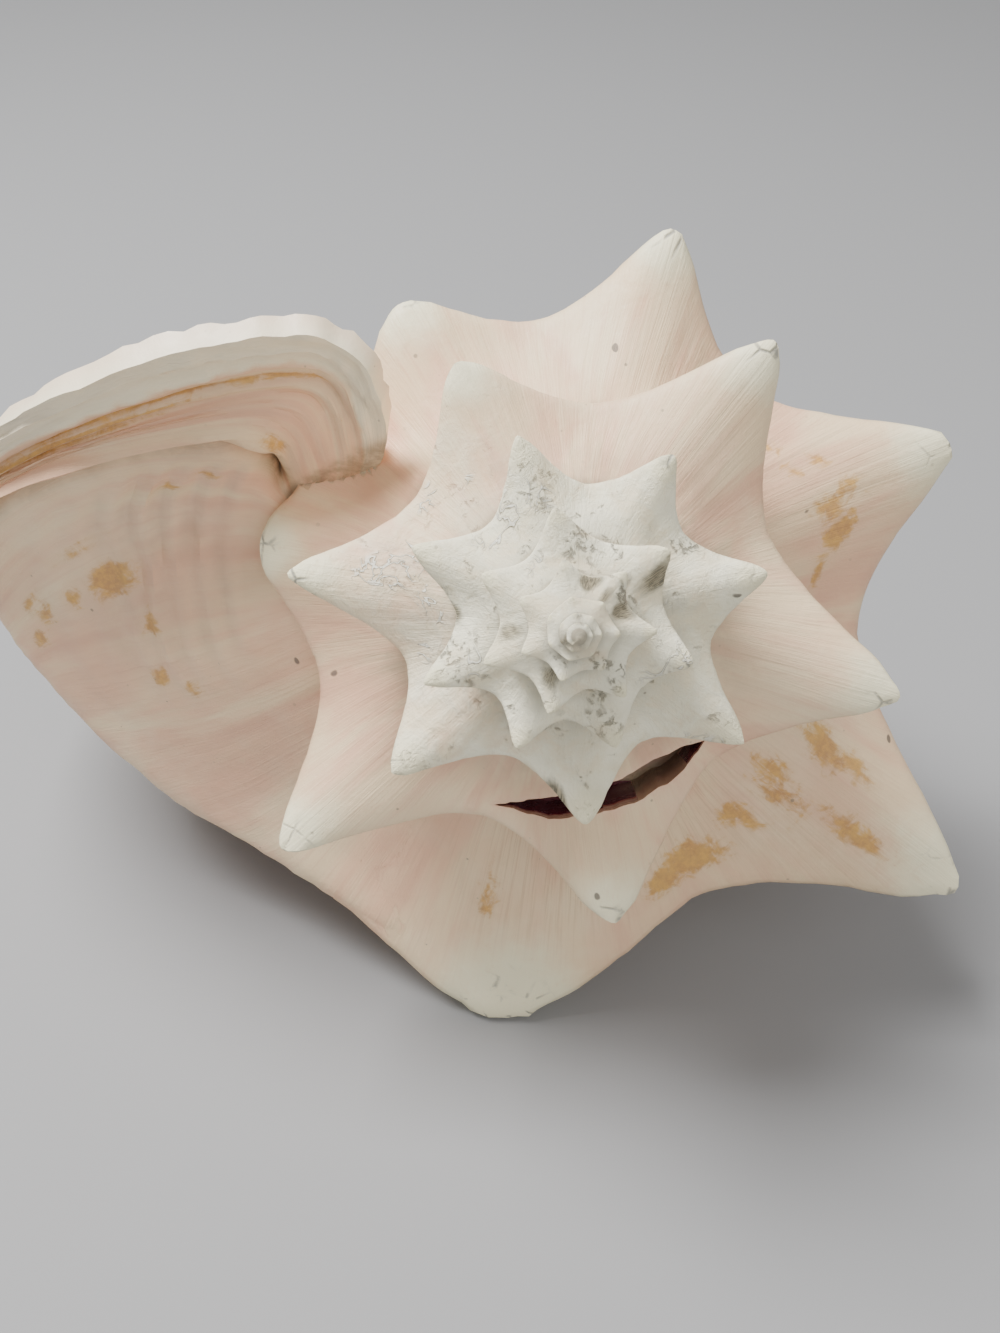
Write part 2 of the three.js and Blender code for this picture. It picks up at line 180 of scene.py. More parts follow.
def profile(w, s):
    """Radius and height of the bare whorl: s = 0 suture, SHOULDER, 1 next suture, 2 end."""
    r, rn = radius(w), nominal(w)
    rp, zp = 0.97 * radius(w + 1), -(DEPTH + DROP) * nominal(w + 1)
    t = np.clip(s / SHOULDER, 0, 1)
    ramp_r = rp + (r - rp) * t
    ramp_z = zp + (-DEPTH * rn - zp) * t - 0.05 * rn * np.sin(np.pi * t) * (1 - 0.3 * t)
    v = np.clip((s - SHOULDER) / (1 - SHOULDER), 0, 1)
    wall_r = r * (1 - 0.03 * v) + 0.02 * r * np.sin(np.pi * v)
    wall_z = -DEPTH * rn - DROP * rn * v
    q = np.clip(s - 1, 0, 1)
    stations = [0, 0.25, 0.5, 0.75, 1]
    outer = curve(q, stations, [0.97, 0.8, 0.6, 0.38, 0.15])
    inner = curve(q, stations, [0.97, 0.64, 0.42, 0.27, 0.22])
    b = smooth((w - 0.55) / 0.6)
    z1 = -(DEPTH + DROP) * rn
    low_r = r * (outer * (1 - b) + inner * b)
    low_z = z1 + (-LENGTH - z1) * q
    out_r = np.where(s < SHOULDER, ramp_r, np.where(s < 1, wall_r, low_r))
    out_z = np.where(s < SHOULDER, ramp_z, np.where(s < 1, wall_z, low_z))
    return out_r, out_z


def spine_list():
    rows = [(turn + ((a - LIP_ANGLE) % 360) / 360, r, lift) for a, turn, r, lift in SPINES]
    w = rows[-1][0] + 1 / PER_WHORL
    while w < BODY_START + TURNS + 0.3:
        fade = np.clip((w - APEX_FADE_START) / APEX_FADE, 0, 1)
        ratio = INNER_RATIO + (APEX_RATIO - INNER_RATIO) * fade
        rows.append((w, ratio * nominal(w), 0.08 * nominal(w)))
        w += 1 / PER_WHORL
    return np.array(sorted(rows))


SPINE_ROWS = spine_list()


def spine_offset(w, s):
    """Push of the spines at (w, s), and how near the place is to a tip, from 0 to 1."""
    w, s = np.broadcast_arrays(w, s)
    out = np.zeros(w.shape + (3,))
    near = np.zeros(w.shape)
    places = SPINE_ROWS[:, 0]
    for i, (wi, tip, lift) in enumerate(SPINE_ROWS):
        lo = (wi - places[i - 1]) * SPINE_OVERLAP if i > 0 else 0.075
        hi = (places[i + 1] - wi) * SPINE_OVERLAP if i < len(places) - 1 else 0.075
        m = (w > wi - lo) & (w < wi + hi)
        if not m.any():
            continue
        dw = w[m] - wi
        q1 = np.where(dw < 0, dw / lo, dw / hi)
        q2 = (s[m] - SHOULDER) / SPINE_FOOT
        e, power = (0.18, 2.2) if i > 0 else (0.35, 1.5)
        q = (np.sqrt(q1 * q1 + q2 * q2 + e * e) - e) / (math.sqrt(1 + e * e) - e)
        h = np.clip(1 - q, 0, 1) ** power * smooth(s[m] / 0.25)
        a = math.radians(LIP_ANGLE + 360 * wi)
        reach = tip - float(radius(wi))
        out[m] += h[:, None] * np.array([reach * math.cos(a), reach * math.sin(a), lift])
        near[m] = np.maximum(near[m], h)
    return out, near


def surface(w, s):
    w, s = np.broadcast_arrays(np.asarray(w, float), np.asarray(s, float))
    r, z = profile(w, s)
    a = np.radians(LIP_ANGLE + 360 * w)
    push, _ = spine_offset(w, s)
    under, _ = spine_offset(w + 1, np.ones_like(w))
    fade = np.clip(1 - s / 0.35, 0, 1) ** 2
    base = np.stack([r * np.cos(a), r * np.sin(a), z], -1)
    return base + push + under * fade[..., None]


# ---- solid noise, one value per point, about -1 to 1 ----
def lattice(cell):
    """Repeatable value between -1 and 1 for whole-numbered cells."""
    x, y, z = (cell[..., k].astype(np.int64) for k in range(3))
    h = (x * 374761393 + y * 668265263 + z * 2147483647) & 0xFFFFFFFF
    h = ((h ^ (h >> 13)) * 1274126177) & 0xFFFFFFFF
    h = ((h ^ (h >> 15)) * 2246822519) & 0xFFFFFFFF
    return ((h ^ (h >> 16)) & 0xFFFFFF) / float(0xFFFFFF) * 2 - 1


def noise(points):
    base = np.floor(points)
    f = points - base
    f = f * f * (3 - 2 * f)
    total = 0
    for corner in np.ndindex(2, 2, 2):
        c = np.array(corner)
        weight = np.prod(np.where(c == 1, f, 1 - f), axis=-1)
        total = total + weight * lattice(base + c)
    return total


def fbm(points, octaves):
    total, size = 0, 1.0
    for k in range(octaves):
        total = total + size * noise(points * 2.03**k + 17.3 * k)
        size *= 0.5
    return total


# ---- closed bodies ----
def tessellate(ids, points):
    """Triangles filling a loop of vertex numbers."""
    tris = tessellate_polygon([[Vector(points[k]) for k in ids]])
    return [[ids[a] for a in t] for t in tris]


def coil_body():
    """The whole coil as one closed body, each suture shared by the two whorls it joins."""
    n, rows, low = TURN_COLUMNS, RAMP_ROWS, WALL_ROWS
    last = n * TURNS
    w = BODY_START + np.arange(last + 1) / n
    s = np.arange(1, rows + 1) / rows
    upper = surface(w[:, None], s[None, :]).reshape(-1, 3)
    s_low = 1 + np.arange(1, low + 1) / low
    lower = surface(w[: n + 1, None], s_low[None, :]).reshape(-1, 3)
    points = np.concatenate([upper, lower, [[0, 0, 0]], [[0, 0, -LENGTH - 1]]])
    top, bottom = len(points) - 2, len(points) - 1

    def vid(i, j):
        if j > rows:
            return len(upper) + i * low + (j - rows - 1)
        if j > 0:
            return i * rows + j - 1
        return (i + n) * rows + rows - 1 if i + n <= last else top

    faces = []
    for i in range(last):
        for j in range(rows + (low if i < n else 0)):
            f = [vid(i, j), vid(i, j + 1), vid(i + 1, j + 1), vid(i + 1, j)]
            faces.append(f[:3] if f[0] == f[3] else f)
        if i < n:
            faces.append([vid(i, rows + low), bottom, vid(i + 1, rows + low)])
    for j in range(1, rows):
        faces.append([top, vid(last, j), vid(last, j + 1)][::-1])
    loop = [vid(0, j) for j in range(rows + low + 1)] + [bottom]
    loop += [vid(n, j) for j in range(rows + low, rows, -1)]
    return points, faces, tessellate(loop, points)


def through(rows, u):
    """Smooth curve through rows[k], k along the first axis, at positions u."""
    count = len(rows)
    i = np.clip(u.astype(int), 0, count - 2)
    t = (u - i).reshape((-1,) + (1,) * (rows.ndim - 1))
    p1, p2 = rows[i], rows[i + 1]
    first = (i == 0).reshape(t.shape)
    final = (i == count - 2).reshape(t.shape)
    p0 = np.where(first, 2 * p1 - p2, rows[np.maximum(i - 1, 0)])
    p3 = np.where(final, 2 * p2 - p1, rows[np.minimum(i + 2, count - 1)])
    square = (2 * p0 - 5 * p1 + 4 * p2 - p3) * t * t
    cube = (3 * p1 - p0 - 3 * p2 + p3) * t**3
    return 0.5 * (2 * p1 + (p2 - p0) * t + square + cube)


def lip_sections():
    s = np.maximum(LIP_STATIONS, 0.001)
    back = surface(0.35, s) * [0.97, 0.97, 1]
    back[:, 2] -= np.where(LIP_STATIONS < 0.7, 1.5, 0)
    edge = surface(0.285, s) * [1.002, 1.002, 1]
    for row in (back, edge):
        row[0] = row[0] * [0.92, 0.92, 1] + [0, 0, 2]
    return np.array([back, edge] + [np.array(r, float) for r in LIP])


def lip_grid():
    """Outer face with its ridges, inner face without them, and both coordinates."""
    sections = lip_sections()
    u = np.linspace(0, len(sections) - 1, LIP_COLUMNS + 1)
    t = np.linspace(0, len(LIP_STATIONS) - 1, LIP_ROWS + 1)
    along = through(sections, u)
    grid = through(along.transpose(1, 0, 2), t).transpose(1, 0, 2)
    du, dt = np.gradient(grid, axis=0), np.gradient(grid, axis=1)
    out = np.cross(du, dt)
    out /= np.linalg.norm(out, axis=-1, keepdims=True)
    uu, tt = np.meshgrid(u, t, indexing="ij")
    open_part = smooth((tt - 0.7) / 0.8) * smooth((8 - tt) / 2.5)
    wander = 0.1 * fbm(np.stack([uu * 0.9, tt * 1.1, 0 * uu], -1), 2)
    lift = np.zeros_like(uu)
    for place, height, width in LIP_RIDGES:
        lift += height * np.exp(-(((uu + wander - place) / width) ** 2))
    lift *= 0.8 + 0.5 * fbm(np.stack([uu * 2, tt * 1.6, 7 + 0 * uu], -1), 2)
    sway = 0.16 * fbm(np.stack([uu * 1.7, tt * 0.6, 5 + 0 * uu], -1), 2) - 0.2 * (uu - 3.7) ** 2
    middle = smooth((uu - 2.6) / 0.6) * smooth((4.75 - uu) / 0.5)
    for place, height, width in LIP_ARCHES:
        lift += height * middle * np.exp(-(((tt - sway - place) / width) ** 2))
    lift *= open_part
    hollow = ((uu - PIT[0]) / 0.3) ** 2 + ((tt - PIT[1]) / 0.5) ** 2
    lift -= PIT[2] * np.exp(-hollow)
    inner = grid - out * lip_wall(grid.shape)[..., None]
    inner -= out * (np.exp(-hollow) * PIT[2])[..., None]
    grid = grid + out * lift[..., None]
    du /= np.linalg.norm(du, axis=-1, keepdims=True)
    ragged = fbm(np.stack([tt * 4.3, 0 * tt, 3 + uu * 0.6], -1), 4)
    rag = RIM_RAGGED * ragged * smooth((uu - u[-1] + 0.5) / 0.5) * smooth(tt / 2)
    return grid + du * rag[..., None], inner + du * rag[..., None], u, t


def lip_wall(shape):
    """Thickness of the lip: thin over the flare, thick again at the edge."""
    u = np.linspace(0, len(LIP) + 1, shape[0])
    thin = curve(u, [0, 1, 3, 4.2, 6, 6.8, 8], [1, 1, 0.8, 0.55, 0.5, 0.65, 0.65])
    wall = LIP_WALL * thin[:, None] * np.ones(shape[:2])
    wall[:, :3] *= 0.6
    return wall


def lip_body():
    grid, inner, _, _ = lip_grid()
    ring = np.concatenate([grid, inner[:, ::-1]], axis=1)
    nu, nt = grid.shape[:2]
    size = 2 * nt
    points = ring.reshape(-1, 3)
    faces = []
    for i in range(nu - 1):
        for j in range(size):
            k = (j + 1) % size
            faces.append([i * size + j, i * size + k, (i + 1) * size + k, (i + 1) * size + j])
    for start, flip in ((0, True), ((nu - 1) * size, False)):
        for j in range(nt - 1):
            f = [start + j, start + j + 1, start + size - 2 - j, start + size - 1 - j]
            faces.append(f[::-1] if flip else f)
    return points, faces


# ---- hollow of the last whorls ----
def pillar_radius(w, z):
    z1 = -(DEPTH + DROP) * nominal(w)
    q = np.clip((z1 - z) / (LENGTH + z1), 0, 1)
    return profile(np.full_like(q, w), 1 + q)[0]


def chamber_loop(w):
    """One closed section of the hollow, wall thickness inside the outside face."""
    end = float(curve(w, [0.15, 0.28, 0.6, 1, 2.4], [1.8, 1.78, 1.6, 1.33, 1.2]))
    wall = WALL * np.clip(1.25 - 0.25 * w, 0.5, 1)
    s = np.linspace(0.22, end, 22)
    ww = np.full_like(s, w)
    r, z = profile(ww, s)
    r2, z2 = profile(ww, s + 0.02)
    length = np.hypot(r2 - r, z2 - z)
    out = np.stack([r + (z2 - z) / length * wall, z - (r2 - r) / length * wall], 1)
    rise = np.linspace(0.06, 0.92, 12)
    z_in = out[-1, 1] + (out[0, 1] - 3 - out[-1, 1]) * rise
    r_in = pillar_radius(w + 1, z_in) + 0.6 * wall
    r_in[rise < 0.3] = np.minimum(r_in[rise < 0.3], out[-1, 0] - 2)
    ring = np.concatenate([out, np.stack([r_in, z_in], 1)])
    a = math.radians(LIP_ANGLE + 360 * w)
    return np.stack([ring[:, 0] * math.cos(a), ring[:, 0] * math.sin(a), ring[:, 1]], 1)


def loft(loops):
    """Closed body through equal loops, with its two ends filled."""
    count, size = len(loops), len(loops[0])
    points = np.concatenate(loops)
    faces = []
    for i in range(count - 1):
        for j in range(size):
            k = (j + 1) % size
            faces.append([i * size + j, i * size + k, (i + 1) * size + k, (i + 1) * size + j])
    first = tessellate(list(range(size)), points)
    final = tessellate(list(range((count - 1) * size, count * size)), points)
    return points, faces, first, final


def chamber_bodies():
    """The hollow in runs of half a turn, so that none winds over itself."""
    whorls = np.arange(0.2, 2.25, CHAMBER_STEP)
    loops = [chamber_loop(w) for w in whorls]
    out = []
    for i in range(0, len(loops) - 1, CHAMBER_RUN):
        part = loops[i : i + CHAMBER_RUN + 1]
        if len(part) > 1:
            out.append((loft(part), np.repeat(whorls[i : i + len(part)], len(part[0]))))
    return out


# slit cut in the spire: outline seen along the coil axis, top and bottom of the cutter
SLIT = [
    (-12, -36.3), (-4, -34.2), (6, -31.2), (13, -27.6), (20, -24.4), (23.5, -24),
    (19, -30.2), (12.5, -33.8), (6, -36), (-2.5, -37.6),
]
SLIT_TOP, SLIT_BASE = -34, -60
SLIT_STEPS = 8
SLIT_RAGGED = 0.4
SLIT_EDGE = 0.9  # how far the broken edge reaches from the outline


def slit_loops():
    """Outline of the slit with a broken edge, at its base and at its top."""
    corners = np.array(SLIT + SLIT[:1], float)
    at = np.arange(0, len(SLIT), 1 / SLIT_STEPS)
    line = np.stack([np.interp(at, np.arange(len(corners)), corners[:, k]) for k in (0, 1)], 1)
    spot = np.stack([line[:, 0], line[:, 1], 0 * at], 1)
    line[:, 1] += SLIT_RAGGED * fbm(spot / 2.2 + 31, 2)
    line[:, 0] += 0.4 * SLIT_RAGGED * fbm(spot / 1.7 + 77, 2)
    return [np.c_[line, np.full(len(at), z)] for z in (SLIT_BASE, SLIT_TOP)]


# ---- Blender objects ----
def new_object(name, points, faces):
    mesh = bpy.data.meshes.new(name)
    mesh.from_pydata([tuple(p) for p in points], [], faces)
    mesh.validate()
    obj = bpy.data.objects.new(name, mesh)
    bpy.context.collection.objects.link(obj)
    return obj


def face_out(obj):
    bm = bmesh.new()
    bm.from_mesh(obj.data)
    bmesh.ops.recalc_face_normals(bm, faces=bm.faces)
    if bm.calc_volume(signed=True) < 0:
        bmesh.ops.reverse_faces(bm, faces=bm.faces)
    bm.to_mesh(obj.data)
    bm.free()
    return obj


def combine(obj, other, operation):
    mod = obj.modifiers.new("join", "BOOLEAN")
    mod.operation = operation
    mod.object = other
    mod.solver = "MANIFOLD"
    bpy.context.view_layer.update()
    done = bpy.data.meshes.new_from_object(obj.evaluated_get(bpy.context.evaluated_depsgraph_get()))
    obj.modifiers.clear()
    obj.data = done
    bpy.data.objects.remove(other)
    return obj


def build_shell():
    points, faces, cap = coil_body()
    shell = face_out(new_object("shell_look", points, faces + cap))
    points, faces = lip_body()
    combine(shell, face_out(new_object("lip", points, faces)), "UNION")
    hollow, whorls = [], []
    for (points, faces, first, final), w in chamber_bodies():
        hollow.append(points)
        whorls.append(w)
        combine(shell, face_out(new_object("hollow", points, faces + first + final)), "DIFFERENCE")
    points, faces, first, final = loft(slit_loops())
    combine(shell, face_out(new_object("slit", points, faces + first + final)), "DIFFERENCE")
    return shell, np.concatenate(hollow), np.concatenate(whorls)


# ---- what each place on the shell is: used for the fine relief and the colours ----
def coil_samples():
    """Points of the bare coil with whorl and profile position, as in coil_body."""
    n, last = TURN_COLUMNS, TURN_COLUMNS * TURNS
    w = BODY_START + np.arange(last + 1) / n
    ww, ss = np.meshgrid(w, np.arange(1, RAMP_ROWS + 1) / RAMP_ROWS, indexing="ij")
    w2, s2 = np.meshgrid(w[: n + 1], 1 + np.arange(1, WALL_ROWS + 1) / WALL_ROWS, indexing="ij")
    ww, ss = np.concatenate([ww.ravel(), w2.ravel()]), np.concatenate([ss.ravel(), s2.ravel()])
    return surface(ww, ss), ww, ss


def survey(points, hollow, hollow_w):
    """Nearest known place of every point: kind, whorl, profile, lip section, lip station."""
    outer, ww, ss = coil_samples()
    grid, under, u, t = lip_grid()
    uu, tt = (a.ravel() for a in np.meshgrid(u, t, indexing="ij"))
    under = under.reshape(-1, 3)
    grid = grid.reshape(-1, 3)
    groups = [outer, grid, under, hollow]
    kind = np.repeat(np.arange(4), [len(g) for g in groups])
    lip_w = BODY_START - 0.09 * (uu - 1)
    lip_s = np.interp(tt, np.arange(len(LIP_STATIONS)), LIP_STATIONS)
    none = np.zeros(len(hollow))
    whorl = np.concatenate([ww, lip_w, lip_w, hollow_w])
    place = np.concatenate([ss, lip_s, lip_s, 1 + hollow[:, 2] / LENGTH])
    section = np.concatenate([0 * ww, uu, uu, none])
    station = np.concatenate([0 * ww, tt, tt, none])
    known = np.concatenate(groups)
    tree = KDTree(len(known))
    for k, p in enumerate(known):
        tree.insert(p, k)
    tree.balance()
    near = np.array([tree.find(p)[1] for p in points])
    return kind[near], whorl[near], place[near], section[near], station[near]


# brown marks on the coil: whorl, profile place, half size along each, strength
COIL_MARKS = [
    (0.72, 0.32, 0.008, 0.03, 0.8), (0.70, 0.35, 0.007, 0.03, 1.0), (0.70, 0.27, 0.007, 0.03, 0.8),
    (0.68, 0.34, 0.008, 0.03, 1.0), (0.67, 0.30, 0.009, 0.04, 1.0), (0.652, 0.34, 0.011, 0.04, 1.3),
    (0.63, 0.31, 0.01, 0.025, 0.9), (0.54, 0.30, 0.011, 0.05, 1.2), (0.51, 0.23, 0.008, 0.05, 1.0),
    (0.54, 0.37, 0.007, 0.04, 1.0), (0.50, 0.28, 0.008, 0.06, 1.0), (0.475, 0.31, 0.009, 0.05, 1.1),
    (0.51, 0.40, 0.007, 0.06, 1.1), (0.445, 0.42, 0.013, 0.07, 1.4), (0.43, 0.45, 0.009, 0.05, 1.3),
    (0.34, 0.30, 0.006, 0.05, 0.9), (0.34, 0.22, 0.005, 0.03, 0.7), (0.58, 0.8, 0.02, 0.05, 1.0),
    (0.72, 0.9, 0.02, 0.07, 1.1), (0.88, 1.2, 0.02, 0.05, 1.1), (0.42, 1.1, 0.02, 0.06, 1.2),
    (0.50, 1.3, 0.02, 0.05, 1.1), (0.64, 1.1, 0.03, 0.05, 1.1), (0.36, 0.85, 0.015, 0.06, 1.0),
    (1.03, 0.3, 0.06, 0.25, 0.3), (0.48, 0.36, 0.05, 0.12, 0.3), (0.66, 0.3, 0.04, 0.12, 0.3),
]
# the same on the lip, by section and station
LIP_MARKS = [
    (3.63, 3.35, 0.10, 0.25, 1.3), (3.63, 3.8, 0.07, 0.12, 1.0), (3.36, 2.96, 0.08, 0.12, 1.1),
    (3.03, 3.08, 0.08, 0.12, 1.1), (2.89, 2.75, 0.07, 0.1, 1.1), (3.61, 4.25, 0.08, 0.13, 1.1),
    (3.49, 4.49, 0.08, 0.13, 1.1), (3.76, 4.43, 0.07, 0.12, 1.0), (3.91, 3.68, 0.05, 0.3, 0.9),
    (4.25, 2.72, 0.05, 0.15, 1.0), (4.38, 2.33, 0.05, 0.15, 1.0), (5.1, 1.8, 0.12, 0.3, 0.9),
    (6.2, 3.3, 0.06, 1.1, 1.2), (6.15, 2.3, 0.06, 0.5, 1.1), (6.05, 3.9, 0.06, 0.9, 1.2),
    (5.85, 3.9, 0.05, 0.8, 1.0), (5.5, 3.6, 0.04, 0.8, 0.6), (2.5, 5.5, 0.1, 0.3, 1.0),
    (5.0, 2.4, 0.1, 0.8, 0.4), (6.1, 3.0, 0.3, 1.6, 0.3), (5.9, 1.4, 0.3, 0.5, 0.3),
    (3.2, 6.1, 0.1, 0.25, 1.1), (4.2, 5.8, 0.12, 0.2, 1.1), (5.2, 6.6, 0.1, 0.3, 1.1),
    (2.1, 6.4, 0.12, 0.3, 1.1), (4.6, 7.2, 0.1, 0.25, 1.0),
]


# dark fluted patches and limy crust on the spire, placed as the brown marks are
WORN_MARKS = [
    (4.83, 0.45, 0.035, 0.3, 1.2), (4.76, 0.2, 0.03, 0.2, 1.0), (4.68, 0.35, 0.035, 0.3, 1.2),
    (3.70, 0.45, 0.03, 0.3, 1.0), (3.74, 0.15, 0.03, 0.12, 0.9), (4.14, 0.4, 0.03, 0.3, 0.9),
    (4.30, 0.3, 0.04, 0.25, 0.8), (2.362, 0.62, 0.01, 0.12, 1.2), (3.12, 0.6, 0.02, 0.1, 0.8),
    (3.35, 0.62, 0.03, 0.1, 0.8), (7.3, 0.5, 0.35, 1.0, 0.75),
]
CRUST_MARKS = [
    (2.08, 0.33, 0.03, 0.11, 1.2), (2.02, 0.51, 0.018, 0.08, 1.0), (2.12, 0.18, 0.03, 0.06, 1.0),
    (2.98, 0.45, 0.04, 0.15, 1.2), (2.92, 0.33, 0.03, 0.1, 1.0), (2.17, 0.4, 0.02, 0.09, 0.9),
    (2.63, 0.1, 0.03, 0.06, 0.9), (3.2, 0.3, 0.04, 0.15, 0.9), (1.98, 0.3, 0.014, 0.04, 0.8),
    (3.55, 0.5, 0.07, 0.2, 0.8), (2.5, 0.55, 0.03, 0.1, 0.7), (3.95, 0.4, 0.07, 0.2, 0.8),
]


def marks(table, a, b):
    out = np.zeros(len(a))
    for pa, pb, ha, hb, strength in table:
        q = ((a - pa) / ha) ** 2 + ((b - pb) / hb) ** 2
        out = np.maximum(out, strength * np.exp(-0.7 * q))
    return out


def describe(points, hollow, hollow_w):
    """Masks and pattern coordinates of every vertex, and how far relief moves it out.

    inside runs from 0 outside to 1 deep in the aperture, and is 3 at the foot of the
    slit's wall, so that the lining's painted shade starts close under the broken edge.
    """
    kind, w, s, u, t = survey(points, hollow, hollow_w)
    coil, lip, under, inner = (kind == k for k in range(4))
    on_lip = lip | under
    angle = np.radians(LIP_ANGLE + 360 * w)
    flow = np.stack([np.cos(angle), np.sin(angle), s - w], 1)
    _, tip = spine_offset(w, s)
    tip = np.where(coil, tip, 0)
    chalk = np.where(coil, smooth((w - CHALK_START) / CHALK_FADE), 0)
    glaze = smooth((w - 0.8) / 0.1) * smooth((s - 0.9) / 0.3) * smooth((1.4 - w) / 0.1)
    glaze = np.where(coil, 0.75 * glaze, 0)
    deep = 0.7 + 0.3 * smooth((w - 0.3) / 0.45)
    inside = np.where(inner, deep, np.where(under, 0.7, glaze))
    rim = np.where(on_lip, smooth((u - 6.1) / 0.55), 0)
    # dirt and painted shade along the sutures, in the lip's crease and in its pit
    upper_seam = smooth(1 - s / 0.13)
    lower_seam = smooth((s - 0.93) / 0.05) * (s < 1.02) * (w > SUTURE_START)
    suture = np.where(coil, np.maximum(upper_seam, lower_seam), 0)
    pit = np.exp(-(((u - PIT[0]) / 0.32) ** 2) - ((t - PIT[1]) / 0.5) ** 2)
    crease = np.where(lip, np.maximum(smooth((1.15 - t) / 0.5) * (u > 1.4), pit), 0)
    stain = np.where(coil & (w < 1.2), marks(COIL_MARKS, w, s), 0)
    stain = np.where(lip, marks(LIP_MARKS, u, t), stain)
    worn = np.where(coil, marks(WORN_MARKS, w, s), 0)
    crust = np.where(coil, marks(CRUST_MARKS, w, s), 0)
    # painted shade on each whorl's ramp just below the suture, and on the lip in its grooves and between
    # its arches
    recess = np.where(coil & (w > 1.1), smooth(1 - s / 0.45), 0)
    arch = t + 0.2 * (u - 3.7) ** 2
    bands = 0.5 - 0.5 * np.cos(2 * np.pi * (arch - 2.62) / 0.345)
    bands *= smooth((arch - 1.7) / 0.4) * smooth((3.8 - arch) / 0.5)
    bands *= smooth((u - 2.8) / 0.5) * smooth((4.75 - u) / 0.4)
    grooves = np.exp(-(((u - 4.8) / 0.16) ** 2)) + 0.7 * np.exp(-(((u - 6.14) / 0.13) ** 2))
    grooves *= smooth((t - 1) / 0.8) * smooth((6 - t) / 2)
    bands *= smooth(0.55 + 0.6 * fbm(points / 11 + 23, 2))
    recess = np.where(lip, np.clip(np.maximum(grooves, 0.6 * bands), 0, 1), recess)
    striae = np.exp(-(((w - 0.41) / 0.08) ** 2)) * smooth(1.1 - s / 0.55)
    striae = np.where(coil, striae, 0)

    outside = coil | lip
    waves = fbm(np.stack([34 * flow[:, 0], 34 * flow[:, 1], 2.2 * flow[:, 2]], 1), 2)
    lumps = fbm(points / 13, 3)
    fine = fbm(points / 2.6 + 40, 3)
    size = np.clip(nominal(w) / R0, 0.03, 1)
    calm = np.where(lip, smooth((t - 0.6) / 0.8), 1)
    move = np.where(outside, calm * (0.22 * waves * size + 0.4 * lumps * size), 0)
    move += np.where(coil, chalk * size * 0.3 * fine, 0)
    move -= tip_wear(points, tip, size)
    wrinkle = noise(np.stack([70 * flow[:, 0], 70 * flow[:, 1], 0.5 * flow[:, 2]], 1))
    move += np.where(coil, 0.3 * size * wrinkle * smooth(1 - s / 0.16) * (s > 0.02), 0)
    move += calm * rim * 0.5 * fbm(points / 2.2 + 9, 3)
    move += np.where(coil, crust * 0.35 * fbm(points / 1.3 + 5, 2) * size**0.5, 0)
    move -= np.where(coil, worn * 0.25 * size**0.4, 0)
    masks = {"chalk": chalk, "tip": tip, "inside": inside, "rim": rim, "stain": stain,
             "dirt": np.maximum(suture * 0.8, crease), "striae": striae,
             "worn": worn, "crust": crust, "recess": recess}
    outline = slit_loops()[0][:, :2]
    reach = np.min(np.linalg.norm(points[:, None, :2] - outline[None], axis=-1), axis=1)
    broken = np.where(coil & (w > 1.2) & (w < 1.75) & (s < 0.62), smooth((SLIT_EDGE - reach) / 0.4), 0)
    for name in ("stain", "dirt", "recess", "crust"):
        masks[name] = masks[name] * (1 - broken)
    masks["inside"] = masks["inside"] * (1 - broken) + 0.3 * broken
    masks["inside"] = np.where(inner & (reach < SLIT_EDGE) & (w > 1.1), 3, masks["inside"])
    return masks, flow, move


def tip_wear(points, tip, size):
    """Tips are worn blunt, each a little differently."""
    worn = smooth((tip - 0.72) / 0.28)
    return worn * (0.9 + 1.2 * fbm(points / 5 + 60, 2)) * size


def add_relief(obj, hollow, hollow_w):
    mesh = obj.data
    count = len(mesh.vertices)
    co = np.empty(count * 3)
    mesh.vertices.foreach_get("co", co)
    co = co.reshape(-1, 3)
    normal = np.empty(count * 3)
    mesh.vertices.foreach_get("normal", normal)
    masks, flow, move = describe(co, hollow, hollow_w)
    co = co + normal.reshape(-1, 3) * move[:, None]
    mesh.vertices.foreach_set("co", co.ravel())
    for name, values in masks.items():
        layer = mesh.attributes.new(name, "FLOAT", "POINT")
        layer.data.foreach_set("value", np.ascontiguousarray(values, float))
    layer = mesh.attributes.new("flow", "FLOAT_VECTOR", "POINT")
    layer.data.foreach_set("vector", np.ascontiguousarray(flow).ravel())
    mesh.update()


# ---- looks ----
MASKS = (
    "chalk", "tip", "inside", "rim", "stain", "dirt", "striae", "worn", "crust", "recess",
)


